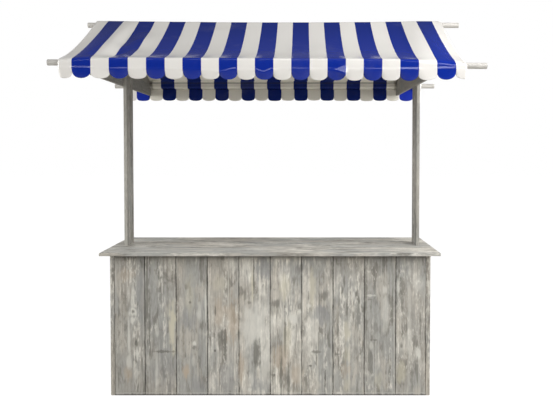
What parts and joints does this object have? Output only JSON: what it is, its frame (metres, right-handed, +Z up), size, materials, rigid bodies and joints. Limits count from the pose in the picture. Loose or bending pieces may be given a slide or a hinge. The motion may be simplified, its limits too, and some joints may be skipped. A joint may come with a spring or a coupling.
{
  "type": "wooden market stall",
  "caption": "Open market stall: a boarded counter of grey washed timber, two plank uprights, gable boards and poles carrying a striped sheet canopy with scalloped valances.",
  "frame": {"origin": "on the floor, midway between the two uprights and straight below the ridge pole", "axes": "+X along the counter to the right as the customer sees it, +Y from the customer towards the seller, +Z up"},
  "size_m": [2.488, 1.4402, 2.3981],
  "materials": {
    "front_boards": "grey wash, dry-brushed, dull",
    "side_boards": "grey wash, dry-brushed, dull",
    "top_planks": "grey wash, dry-brushed, dull",
    "uprights": "grey wash, dry-brushed, dull",
    "gables": "grey wash, dry-brushed, dull",
    "rails": "grey wash, dull",
    "poles": "smooth pale grey tube",
    "canopy": "coated cloth, blue and white stripes, glossy"
  },
  "bodies": {
    "root": {"canopy": "canopy", "front_board_01": "front_boards", "front_board_02": "front_boards", "front_board_03": "front_boards", "front_board_04": "front_boards", "front_board_05": "front_boards", "front_board_06": "front_boards", "front_board_07": "front_boards", "front_board_08": "front_boards", "front_board_09": "front_boards", "front_board_10": "front_boards", "front_pole": "poles", "front_rail_bottom": "rails", "front_rail_middle": "rails", "front_rail_top": "rails", "left_batten_bottom_front": "rails", "left_batten_bottom_rear": "rails", "left_batten_top_front": "rails", "left_batten_top_rear": "rails", "left_board_1": "side_boards", "left_board_2": "side_boards", "left_board_3": "side_boards", "left_cleat": "rails", "left_gable": "gables", "left_upright": "uprights", "rear_pole": "poles", "rear_rail": "rails", "ridge_pole": "poles", "right_batten_bottom_front": "rails", "right_batten_bottom_rear": "rails", "right_batten_top_front": "rails", "right_batten_top_rear": "rails", "right_board_1": "side_boards", "right_board_2": "side_boards", "right_board_3": "side_boards", "right_cleat": "rails", "right_gable": "gables", "right_upright": "uprights", "top_plank_1": "top_planks", "top_plank_2": "top_planks", "top_plank_3": "top_planks"}
  },
  "joints": []
}
